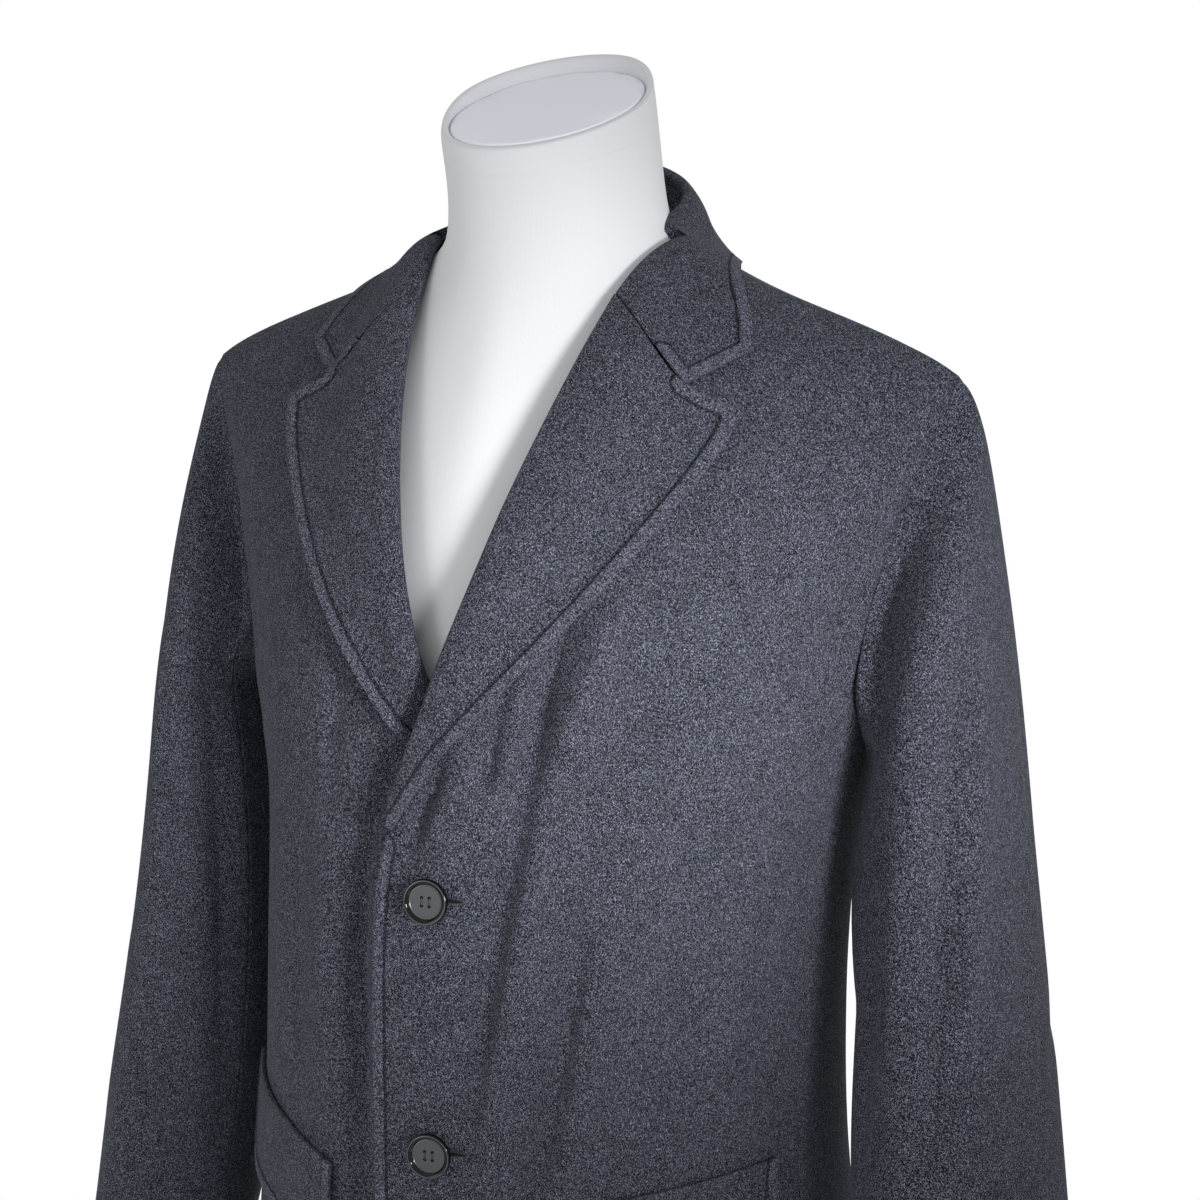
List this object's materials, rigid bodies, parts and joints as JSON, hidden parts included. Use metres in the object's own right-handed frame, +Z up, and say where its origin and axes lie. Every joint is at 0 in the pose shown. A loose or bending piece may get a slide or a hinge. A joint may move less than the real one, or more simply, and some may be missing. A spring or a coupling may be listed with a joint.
{
  "type": "overcoat on a dress form",
  "caption": "Single-breasted wool overcoat with notch lapels and flap pockets, buttoned on a limbless dress form with a pole and a round foot.",
  "frame": {"origin": "centre of the foot's underside, on the floor, below the middle of the neck", "axes": "+Z up, -Y the way the wearer faces, +X the wearer's left"},
  "size_m": [0.6566, 0.38, 1.5747],
  "materials": {
    "wool": "milled wool flannel, blue-grey charcoal melange",
    "jersey": "white stretch jersey",
    "cap_cover": "pale blue-grey cloth over a flat plate",
    "button": "polished black rim with a satin middle",
    "stand_paint": "smooth grey paint, satin"
  },
  "bodies": {
    "root": {"left_front": "wool", "right_front": "wool", "left_back": "wool", "right_back": "wool", "left_upper_sleeve": "wool", "left_under_sleeve": "wool", "right_upper_sleeve": "wool", "right_under_sleeve": "wool", "left_lapel": "wool", "right_lapel": "wool", "collar_fall": "wool", "collar_stand": "wool", "left_pocket_flap": "wool", "right_pocket_flap": "wool", "button_1": "button", "button_2": "button", "button_3": "button", "form_body": "jersey", "form_neck_cap": "cap_cover", "stand_pole": "stand_paint", "stand_base": "stand_paint"}
  },
  "joints": []
}
